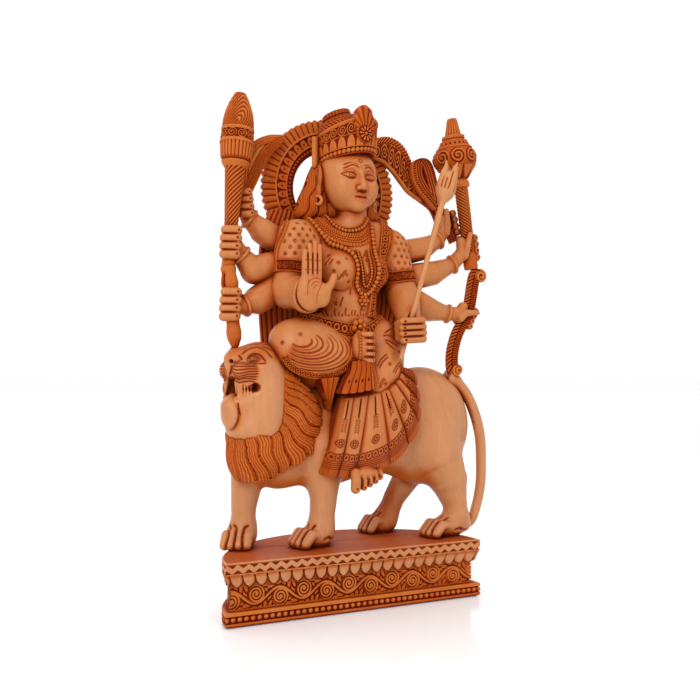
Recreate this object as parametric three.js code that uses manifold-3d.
// A carved wooden statue: an eight-armed goddess seated on a walking lion, on a moulded
// half-oval plinth, with a loose flower-bud staff held in a drilled fist.
// Millimetres. +X is the lion's tail side, -Y the front, +Z up. The origin is the centre of the
// plinth's underside.
import * as THREE from "three";
import { mergeVertices } from "three/addons/utils/BufferGeometryUtils.js";
import Module from "manifold-3d";

const wasm = await Module();
wasm.setup();

// ---- Driving dimensions -------------------------------------------------------------------
const PLINTH_WIDTH = 170;
const PLINTH_DEPTH = 70.5;
const FELT_TOP = 0.8;
const FOOT_TOP = 8.7;
const WAIST_TOP = 22.8;
const PETAL_TOP = 29.8;
const PLINTH_TOP = 36.95;
const WAIST_INSET = 4.5;
const PETAL_INSET = 1.2;
const CLEARANCE = 0.3; // gap that each piece keeps to its neighbours
const ROUND = 8; // sides of a round section
const ARC = 3; // steps in a quarter of a rounded end

const FIGURE_X = 7; // the goddess's middle
const HALO = { x: 0, z: 266, back: 19, front: 13.5, outer: 47, inner: 25.5 };
const STAFF_FOOT = [27.7, -33, 153.5];
const STAFF_BUD = [59.2, -31, 255.5];
const STAFF_RADIUS = 1.55;
const HEAD_YAW = Math.atan2(0.375, 0.927); // the lion's head turns this far to the front
const LION_HEAD = [-60, -8, 134];

// ---- Solids ---------------------------------------------------------------------------------
function solid(geometry) {
  const shell = geometry.index ? geometry.clone() : geometry;
  shell.deleteAttribute("normal");
  shell.deleteAttribute("uv");
  const merged = mergeVertices(shell, 1e-4);
  const vertProperties = new Float32Array(merged.attributes.position.array);
  const triVerts = new Uint32Array(merged.index.array);
  return new wasm.Manifold(new wasm.Mesh({ numProp: 3, vertProperties, triVerts }));
}

function join(...solids) {
  return solids.reduce((whole, piece) => whole.add(piece));
}

function ball(centre, radii, grow = 0, yaw = 0, pitch = 0) {
  const geometry = new THREE.SphereGeometry(1, ROUND, 2 * ARC);
  geometry.rotateX(Math.PI / 2);
  geometry.scale(radii[0] + grow, radii[1] + grow, radii[2] + grow);
  geometry.rotateY(pitch);
  geometry.rotateZ(yaw);
  geometry.translate(...centre);
  return solid(geometry);
}

// A round bar from a to b with rounded ends, thicker or thinner along its length.
function limb(a, b, radiusA, radiusB, grow = 0) {
  const start = new THREE.Vector3(...a);
  const along = new THREE.Vector3(...b).sub(start);
  const length = along.length();
  const ra = radiusA + grow;
  const rb = radiusB + grow;
  const profile = [];
  for (let i = 0; i <= ARC; i += 1) {
    const t = (i / ARC) * (Math.PI / 2);
    profile.push(new THREE.Vector2(ra * Math.sin(t), -ra * Math.cos(t)));
  }
  for (let i = 0; i <= ARC; i += 1) {
    const t = (i / ARC) * (Math.PI / 2);
    profile.push(new THREE.Vector2(rb * Math.cos(t), length + rb * Math.sin(t)));
  }
  profile[0].x = 0;
  profile[profile.length - 1].x = 0;
  return turned(profile, a, along);
}

// A lathe-turned piece whose profile runs from point a in the direction of the vector along.
function turned(profile, a, along, sides = ROUND, depth = 1) {
  const geometry = new THREE.LatheGeometry(profile, sides);
  const up = new THREE.Vector3(0, 1, 0);
  geometry.applyQuaternion(
    new THREE.Quaternion().setFromUnitVectors(up, along.clone().normalize()),
  );
  geometry.scale(1, depth, 1);
  geometry.translate(...a);
  return solid(geometry);
}

// A spindle from a to b: stations are [share of the length, radius]. Its depth in Y can be less
// than its width.
function spindle(a, b, stations, grow = 0, sides = ROUND, depth = 1) {
  const start = new THREE.Vector3(...a);
  const along = new THREE.Vector3(...b).sub(start);
  const length = along.length();
  const profile = [new THREE.Vector2(0, -grow)];
  stations.forEach(([share, radius]) => {
    profile.push(new THREE.Vector2(radius + grow, share * length));
  });
  profile[1].y -= grow;
  profile[profile.length - 1].y += grow;
  profile.push(new THREE.Vector2(0, length + grow));
  return turned(profile, a, along, sides, depth);
}

// A flat outline in X and Z, given front and back faces in Y.
function panel(points, front, back, grow = 0) {
  const shape = new THREE.Shape(offset(points, grow));
  const geometry = new THREE.ExtrudeGeometry(shape, {
    depth: back - front + 2 * grow,
    bevelEnabled: false,
  });
  geometry.rotateX(Math.PI / 2);
  geometry.translate(0, front - grow + (back - front + 2 * grow), 0);
  return solid(geometry);
}

// Moves an outline's points outwards from its own middle.
function offset(points, grow) {
  const middle = points
    .reduce((sum, p) => [sum[0] + p[0], sum[1] + p[1]], [0, 0])
    .map((v) => v / points.length);
  return points.map(([x, z]) => {
    const away = new THREE.Vector2(x - middle[0], z - middle[1]);
    const reach = away.length() || 1;
    const k = (reach + grow * 1.5) / reach;
    return new THREE.Vector2(middle[0] + away.x * k, middle[1] + away.y * k);
  });
}

// A bar of round section along a smooth curve.
function bar(points, radius, grow = 0, sides = 8, steps = 16) {
  const curve = new THREE.CatmullRomCurve3(points.map((p) => new THREE.Vector3(...p)));
  const section = new THREE.Shape();
  for (let i = 0; i < sides; i += 1) {
    const t = (i / sides) * 2 * Math.PI;
    const x = (radius + grow) * Math.cos(t);
    const y = (radius + grow) * Math.sin(t);
    if (i === 0) section.moveTo(x, y);
    else section.lineTo(x, y);
  }
  section.closePath();
  return solid(
    new THREE.ExtrudeGeometry(section, { steps, extrudePath: curve, bevelEnabled: false }),
  );
}

// ---- Plinth -----------------------------------------------------------------------------------
function plinthOutline(inset, scale = 1) {
  const half = (PLINTH_WIDTH / 2 - inset) * scale;
  const front = -(PLINTH_DEPTH / 2 - inset) * scale;
  const depth = (PLINTH_DEPTH - 2 * inset) * scale;
  const shape = new THREE.Shape();
  shape.moveTo(-half, front);
  shape.lineTo(half, front);
  shape.absellipse(0, front, half, depth, 0, Math.PI, false, 0);
  return shape;
}

function plinthLayer(z0, z1, inset, flare = 0) {
  const geometry = new THREE.ExtrudeGeometry(plinthOutline(inset), {
    depth: z1 - z0,
    bevelEnabled: false,
    curveSegments: 28,
  });
  const position = geometry.attributes.position;
  for (let i = 0; i < position.count; i += 1) {
    const height = position.getZ(i) / (z1 - z0);
    const kx = 1 + (flare * height) / (PLINTH_WIDTH / 2);
    const ky = 1 + (flare * height) / (PLINTH_DEPTH / 2);
    position.setX(i, position.getX(i) * kx);
    position.setY(i, position.getY(i) * ky);
  }
  geometry.translate(0, 0, z0);
  return solid(geometry);
}

const feltPad = () => plinthLayer(0, FELT_TOP, 1.5);
const plinthFoot = () => plinthLayer(FELT_TOP, FOOT_TOP, 0);
const plinthWaist = () => plinthLayer(FOOT_TOP, WAIST_TOP, WAIST_INSET);
const plinthPetals = () =>
  plinthLayer(WAIST_TOP, PETAL_TOP, WAIST_INSET - PETAL_INSET, WAIST_INSET - PETAL_INSET - 0.6);
const plinthTop = () => plinthLayer(PETAL_TOP, PLINTH_TOP, 0);

// ---- Lion ---------------------------------------------------------------------------------------
// A place in the lion's head: ahead of, to the near side of, and above its middle.
function inHead(ahead, side, up) {
  const c = Math.cos(HEAD_YAW);
  const s = Math.sin(HEAD_YAW);
  return [
    LION_HEAD[0] - ahead * c + side * s,
    LION_HEAD[1] - ahead * s - side * c,
    LION_HEAD[2] + up,
  ];
}

function lionHead(g = 0) {
  return join(
    ball(inHead(-3, 0, 0), [19, 18.5, 29], g, HEAD_YAW),
    ball(inHead(14, 0, 14), [12, 11, 11], g, HEAD_YAW),
    ball(inHead(17, 0, 5), [8, 10, 6.5], g, HEAD_YAW),
  );
}

const lionJaw = (g = 0) => ball(inHead(13, 0, -12.5), [9, 9, 8], g, HEAD_YAW);
const lionTongue = (g = 0) => ball(inHead(23, 0, -12.5), [3.6, 5.8, 9], g, HEAD_YAW);

function lionMane(g = 0) {
  return join(
    ball([-49, -4, 122], [25, 21, 36], g),
    ball([-56, -7, 101], [23, 20, 21], g),
    ball([-40, -6, 104], [16, 20, 20], g),
  );
}

function lionBody(g = 0) {
  return join(
    ball([-44, -2, 104], [24, 17, 34], g),
    ball([-8, -1, 107], [45, 17.5, 35], g),
    ball([30, 0, 109], [45, 17, 32], g),
    ball([66, 1, 108], [31, 18.5, 37.5], g),
  );
}

function lionLeg(hip, knee, ankle, thick, thin, paw, pawRadii) {
  return (g = 0) =>
    join(
      limb(hip, knee, thick, thin + 1, g),
      limb(knee, ankle, thin + 1, thin, g),
      ball(paw, pawRadii, g),
    );
}

const LION_LEGS = {
  lion_near_foreleg: lionLeg(
    [-13, -8, 88], [-14, -8, 62], [-15, -7.5, 46], 12.5, 7.2, [-20, -8, 43], [13.5, 8.5, 6.8],
  ),
  lion_far_foreleg: lionLeg(
    [-57, 5, 92], [-61, 7, 62], [-61.5, 7, 46], 12.5, 7, [-65, 7, 43], [11, 8.5, 6.8],
  ),
  lion_near_hind_leg: lionLeg(
    [73, -8, 96], [79, -11, 58], [79.5, -12, 46], 17.5, 7.4, [73, -12, 43], [15.5, 8.5, 6.8],
  ),
  lion_far_hind_leg: lionLeg(
    [60, 8, 88], [49, 16, 60], [44, 17, 46], 11.5, 6.6, [38.5, 17, 43], [11.5, 8, 6.5],
  ),
};

function lionTail(g = 0) {
  const route = [
    [84, -1, 142], [93, -1.5, 135], [101, -2, 121], [105.5, -3, 104],
    [106, -4, 86], [104.5, -5, 70], [100, -6, 54], [93, -7, 43],
  ];
  return bar(route, 3.6, g, 8, 18);
}

// ---- Goddess ------------------------------------------------------------------------------------
function torso(g = 0) {
  return join(
    ball([FIGURE_X + 2, -2, 168], [29, 17, 17], g),
    limb([FIGURE_X, -3, 178], [FIGURE_X, -3, 205], 17.5, 18, g),
    ball([FIGURE_X - 9, -8, 209], [13.5, 13.5, 14], g),
    ball([FIGURE_X + 10, -8, 209], [13.5, 13.5, 14], g),
    limb([-20, -1, 227], [34, -1, 227], 13.5, 13.5, g),
    limb([FIGURE_X, -4, 232], [FIGURE_X, -5, 252], 10, 8.6, g),
  );
}

const goddessHead = (g = 0) => ball([FIGURE_X, -6.5, 268], [15.5, 16.5, 22.5], g);

function hair(g = 0) {
  return join(
    ball([FIGURE_X, 0, 264], [20, 9.5, 25], g),
    limb([FIGURE_X - 16, 3, 258], [FIGURE_X - 27, 1, 241], 7, 5.5, g),
    limb([FIGURE_X + 16, 3, 258], [FIGURE_X + 25, 1, 241], 7, 5.5, g),
  );
}

function crown(g = 0) {
  const band = spindle(
    [FIGURE_X - 1, -5, 281],
    [FIGURE_X - 3, -3, 312.5],
    [[0, 18.2], [0.3, 19.2], [0.62, 18.6], [0.66, 15.5], [0.9, 13], [1, 8.5]],
    g,
  );
  const crest = ball([FIGURE_X + 5, -22, 301], [9.5, 3.4, 17], g);
  return join(band, crest);
}

const ear = (side) => (g = 0) =>
  join(
    ball([FIGURE_X + side * 17.5, -5, 266], [2.6, 4, 8.5], g),
    ball([FIGURE_X + side * 18.5, -6, 255], [2.2, 5, 5], g),
  );

// An open horseshoe arch behind the head, made of the stretch between two angles.
function halo(g = 0) {
  const first = -0.56;
  const last = Math.PI + 0.56;
  const shape = new THREE.Shape();
  shape.absarc(HALO.x, HALO.z, HALO.outer + g, first, last, false);
  shape.absarc(HALO.x, HALO.z, HALO.inner - g, last, first, true);
  shape.closePath();
  const depth = HALO.back - HALO.front + 2 * g;
  const geometry = new THREE.ExtrudeGeometry(shape, {
    depth,
    bevelEnabled: false,
    curveSegments: 20,
  });
  geometry.rotateX(Math.PI / 2);
  geometry.translate(0, HALO.front - g + depth, 0);
  return solid(geometry);
}

function backVeil(g = 0) {
  const outline = [
    [-49, 160], [40, 160], [52, 190], [50, 232], [32, 250], [-20, 250], [-46, 238], [-51, 200],
  ];
  return panel(outline, 9.5, 13, g);
}

const BELT_BOTTOM = [FIGURE_X + 1, -5, 170];
const BELT_TOP = [FIGURE_X + 1, -5, 181];
const waistBelt = (g = 0) =>
  spindle(BELT_BOTTOM, BELT_TOP, [[0, 26], [0.5, 24], [1, 21]], g, 14, 0.68);

function foldedLeg(g = 0) {
  return join(
    ball([-23, -15, 160], [27, 15.5, 19.5], g, 0, 0.18),
    ball([-4, -17, 153], [14, 14, 13], g),
  );
}

const foldedFoot = (g = 0) => ball([6.5, -27, 160.5], [5.5, 6.5, 10.5], g);

function hangingLeg(g = 0) {
  return join(
    limb([24, -6, 164], [29, -17, 152], 16.5, 14.5, g),
    limb([29, -17, 152], [26, -19, 138], 14, 12, g),
  );
}

function hangingSkirt(g = 0) {
  const outline = [
    [-25.5, 85], [-15, 83], [-4, 83], [13, 86], [21, 89], [34, 100],
    [43, 116], [44, 130], [42, 141], [20, 146], [0, 143], [-13, 133], [-17, 121],
  ];
  return panel(outline, -33, -15, g);
}

function frontApron(g = 0) {
  return panel([[-16, 134], [10, 137], [9.5, 151], [-6.5, 151]], -37, -32, g);
}

function sideApron(g = 0) {
  return panel([[-27, 135], [-16, 122], [-12, 141], [-25, 143]], -30, -17, g);
}

const bareFoot = (g = 0) =>
  join(limb([9, -26, 92], [5, -28, 82], 8, 7.5, g), ball([4, -33, 79], [10.5, 7.5, 6.5], g));

// ---- Arms and hands -----------------------------------------------------------------------------
function blessingArm(g = 0) {
  return join(
    limb([-31, -1, 226], [-37, -4, 198], 13.5, 12, g),
    limb([-37, -5, 196], [-31, -23, 188], 10.5, 7.5, g),
    ball([-30, -29, 195], [9.5, 4.6, 13], g),
    ball([-29.5, -29.5, 212], [6.8, 3.4, 13], g),
    limb([-22, -29, 192], [-16.5, -30, 201], 4.6, 3, g),
  );
}

function staffArm(g = 0) {
  return join(
    limb([41, -1, 226], [46, -5, 197], 12.5, 11.5, g),
    limb([46, -6, 195], [40, -23, 177], 10.5, 7.5, g),
    ball([35, -31.5, 171.5], [11.5, 8, 8.6], g),
  );
}

// A rear arm: shoulder, elbow, wrist, then the hand's centre and radii.
function rearArm(shoulder, elbow, wrist, thick, thin, hand, handRadii) {
  return (g = 0) =>
    join(
      limb(shoulder, elbow, thick, (thick + thin) / 2, g),
      limb(elbow, wrist, (thick + thin) / 2, thin, g),
      ball(hand, handRadii, g),
    );
}

const REAR_ARMS = {
  left_upper_arm: rearArm(
    [-40, 5, 228], [-50, 5.5, 234], [-59, 5.5, 242], 8.5, 5.6, [-62, 5, 249], [5.5, 6, 11],
  ),
  left_middle_arm: rearArm(
    [-43, 3, 212], [-58, 0, 208], [-66, -1, 217], 9.5, 6, [-73, -3, 224], [7, 6.5, 10.5],
  ),
  left_lower_arm: rearArm(
    [-43, 1, 198], [-56, -1, 189], [-64, -2, 186], 9.5, 6, [-73.5, -4, 185.5], [7, 6, 9.5],
  ),
  right_upper_arm: rearArm(
    [50, 5, 227], [64, 4.5, 231], [77, 4, 238], 8.5, 5.2, [83, 3.5, 246.5], [8, 6, 11],
  ),
  right_middle_arm: rearArm(
    [53, 2, 210], [70, 0.5, 214], [86, -1, 223], 9, 5.2, [95.5, -3.5, 232], [8.8, 8.4, 10.5],
  ),
  right_lower_arm: rearArm(
    [54, 0, 194], [67, -2, 188], [80, -4, 186], 9, 5, [92, -5.5, 186], [10.5, 6.5, 8],
  ),
};

// ---- What the hands hold ------------------------------------------------------------------------
const leftClub = (g = 0) =>
  spindle(
    [-74, -2, 209],
    [-66.3, -2, 316.5],
    [
      [0, 4.2], [0.06, 3.2], [0.26, 3.6], [0.56, 5.6], [0.58, 8], [0.62, 9.4],
      [0.69, 10.2], [0.77, 10], [0.82, 9.6], [0.9, 7.6], [0.97, 4], [1, 2.2],
    ],
    g,
  );

const leftDagger = (g = 0) =>
  spindle(
    [-74.6, -3.5, 208],
    [-71.6, -6, 162],
    [[0, 3.4], [0.08, 4.8], [0.22, 4.4], [0.32, 3], [0.66, 3.6], [0.8, 3.2], [0.94, 2], [1, 1.4]],
    g,
  );

function leftLeaf(g = 0) {
  const outline = [
    [-37, 296], [-47, 295], [-56, 289], [-62, 275], [-63, 259], [-57, 257], [-53, 264], [-44, 280],
  ];
  return panel(outline, 7.5, 12, g);
}

const rightMace = (g = 0) =>
  spindle(
    [98.6, -2, 217.5],
    [85.2, -2, 320.5],
    [
      [0, 4], [0.07, 4.6], [0.12, 3.4], [0.54, 3.9], [0.56, 6], [0.59, 6.4], [0.63, 9.5],
      [0.7, 14.8], [0.78, 13.8], [0.83, 8], [0.84, 9], [0.87, 9], [0.875, 6], [1, 3.2],
    ],
    g,
  );

function rightConch(g = 0) {
  const outline = [
    [67.5, 294], [60.5, 290], [59, 283], [63, 273], [73, 261], [79, 263], [79, 276], [75, 289],
  ];
  return panel(outline, 4, 9.2, g);
}

function rightScarf(g = 0) {
  const outline = [
    [32, 304], [40, 306], [48, 304.5], [55, 299.5], [61, 287.5], [69, 274], [80, 262],
    [86, 251], [81, 250], [76, 260], [56.5, 271], [45, 283], [32, 293],
  ];
  return panel(outline, 9.6, 13, g);
}

function rightBow(g = 0) {
  const route = [
    [107, -4, 213], [104, -4, 216.5], [100.5, -4, 212], [98.5, -4.5, 203], [95.5, -5.5, 192],
    [90, -6, 181], [84, -6, 170], [81, -6, 158], [82.5, -6, 144],
  ];
  return bar(route, 3.6, g, 8, 22);
}

function staff(g = 0) {
  const foot = new THREE.Vector3(...STAFF_FOOT);
  const bud = new THREE.Vector3(...STAFF_BUD);
  const along = bud.clone().sub(foot).normalize();
  const tip = bud.clone().addScaledVector(along, 25);
  const stem = turned(
    [
      new THREE.Vector2(0, 0),
      new THREE.Vector2(STAFF_RADIUS + g, 0),
      new THREE.Vector2(STAFF_RADIUS + 0.35 + g, bud.distanceTo(foot) + 1),
      new THREE.Vector2(0, bud.distanceTo(foot) + 1),
    ],
    STAFF_FOOT,
    along,
    10,
  );
  const flower = spindle(
    bud.toArray(),
    tip.toArray(),
    [[0, 2], [0.2, 5.6], [0.45, 8], [0.75, 7], [1, 5.6]],
    g,
  );
  return join(stem, flower);
}

// The hole through the fist, and the staff's way out of it.
function staffWay(g = 0) {
  const foot = new THREE.Vector3(...STAFF_FOOT);
  const along = new THREE.Vector3(...STAFF_BUD).sub(foot).normalize();
  const start = foot.clone().addScaledVector(along, -0.5);
  return turned(
    [
      new THREE.Vector2(0, 0),
      new THREE.Vector2(STAFF_RADIUS + 0.6 + g, 0),
      new THREE.Vector2(STAFF_RADIUS + 0.6 + g, 230),
      new THREE.Vector2(0, 230),
    ],
    start.toArray(),
    along,
    12,
  );
}

// ---- Assembly -----------------------------------------------------------------------------------
const POLISHED = { color: 0xc47a45, roughness: 0.42, metalness: 0 };
const STAINED = { color: 0xa8521f, roughness: 0.5, metalness: 0 };
const PALE = { color: 0xd09a66, roughness: 0.5, metalness: 0 };
const FELT = { color: 0x780a28, roughness: 0.95, metalness: 0 };

// Each piece is let into the ones listed before it.
const PIECES = [
  ["felt_pad", feltPad, FELT],
  ["plinth_foot", plinthFoot, STAINED],
  ["plinth_waist", plinthWaist, STAINED],
  ["plinth_petal_row", plinthPetals, STAINED],
  ["plinth_top_slab", plinthTop, STAINED],
  ["flower_bud_staff", staff, PALE],
  ["lion_tongue", lionTongue, POLISHED],
  ["lion_head", lionHead, POLISHED],
  ["lion_jaw", lionJaw, POLISHED],
  ["lion_mane", lionMane, STAINED],
  ["goddess_head", goddessHead, POLISHED],
  ["goddess_crown", crown, STAINED],
  ["goddess_left_ear", ear(-1), POLISHED],
  ["goddess_right_ear", ear(1), POLISHED],
  ["waist_belt", waistBelt, STAINED],
  ["folded_foot", foldedFoot, POLISHED],
  ["front_apron", frontApron, STAINED],
  ["folded_leg", foldedLeg, POLISHED],
  ["hanging_leg", hangingLeg, POLISHED],
  ["hanging_skirt", hangingSkirt, POLISHED],
  ["side_apron", sideApron, STAINED],
  ["bare_foot", bareFoot, POLISHED],
  ["blessing_arm", blessingArm, POLISHED],
  ["staff_arm", staffArm, POLISHED],
  ["goddess_torso", torso, POLISHED],
  ["goddess_hair", hair, STAINED],
  ["lion_body", lionBody, POLISHED],
  ...Object.entries(LION_LEGS).map(([name, make]) => [name, make, POLISHED]),
  ["lion_tail", lionTail, POLISHED],
  ["left_club", leftClub, STAINED],
  ["left_dagger", leftDagger, STAINED],
  ["right_mace", rightMace, STAINED],
  ["right_bow", rightBow, STAINED],
  ["left_leaf", leftLeaf, STAINED],
  ["right_conch", rightConch, STAINED],
  ["right_scarf", rightScarf, STAINED],
  ...Object.entries(REAR_ARMS).map(([name, make]) => [name, make, POLISHED]),
  ["halo_arch", halo, STAINED],
  ["back_veil", backVeil, STAINED],
];

const PLINTH_LAYERS = 5; // these meet each other on flat faces

function boxesMeet(a, b) {
  const p = a.boundingBox();
  const q = b.boundingBox();
  return [0, 1, 2].every((k) => p.min[k] <= q.max[k] && q.min[k] <= p.max[k]);
}

// The piece without the crumbs that a cut can leave.
function largestPart(piece) {
  const parts = piece.decompose();
  return parts.reduce((best, part) => (part.volume() > best.volume() ? part : best));
}

function toMesh(name, piece, look) {
  const { vertProperties, triVerts } = piece.getMesh();
  const geometry = new THREE.BufferGeometry();
  geometry.setAttribute("position", new THREE.BufferAttribute(vertProperties, 3));
  geometry.setIndex(new THREE.BufferAttribute(triVerts, 1));
  geometry.computeVertexNormals();
  const mesh = new THREE.Mesh(geometry, new THREE.MeshStandardMaterial(look));
  mesh.name = name;
  return mesh;
}

const statue = new THREE.Group();
const fistHole = staffWay();
const topSlabBlock = plinthLayer(PLINTH_TOP - 6, PLINTH_TOP + CLEARANCE, -30);
const fitted = [];

PIECES.forEach(([name, make, look], index) => {
  let piece = make();
  if (index >= PLINTH_LAYERS) {
    piece = piece.subtract(topSlabBlock);
    fitted.slice(PLINTH_LAYERS).forEach((other) => {
      const cutter = other.make(CLEARANCE);
      if (boxesMeet(piece, cutter)) piece = piece.subtract(cutter);
    });
  }
  if (index >= PLINTH_LAYERS && name !== "flower_bud_staff") piece = piece.subtract(fistHole);
  fitted.push({ name, make });
  statue.add(toMesh(name, largestPart(piece), look));
});

export default statue;
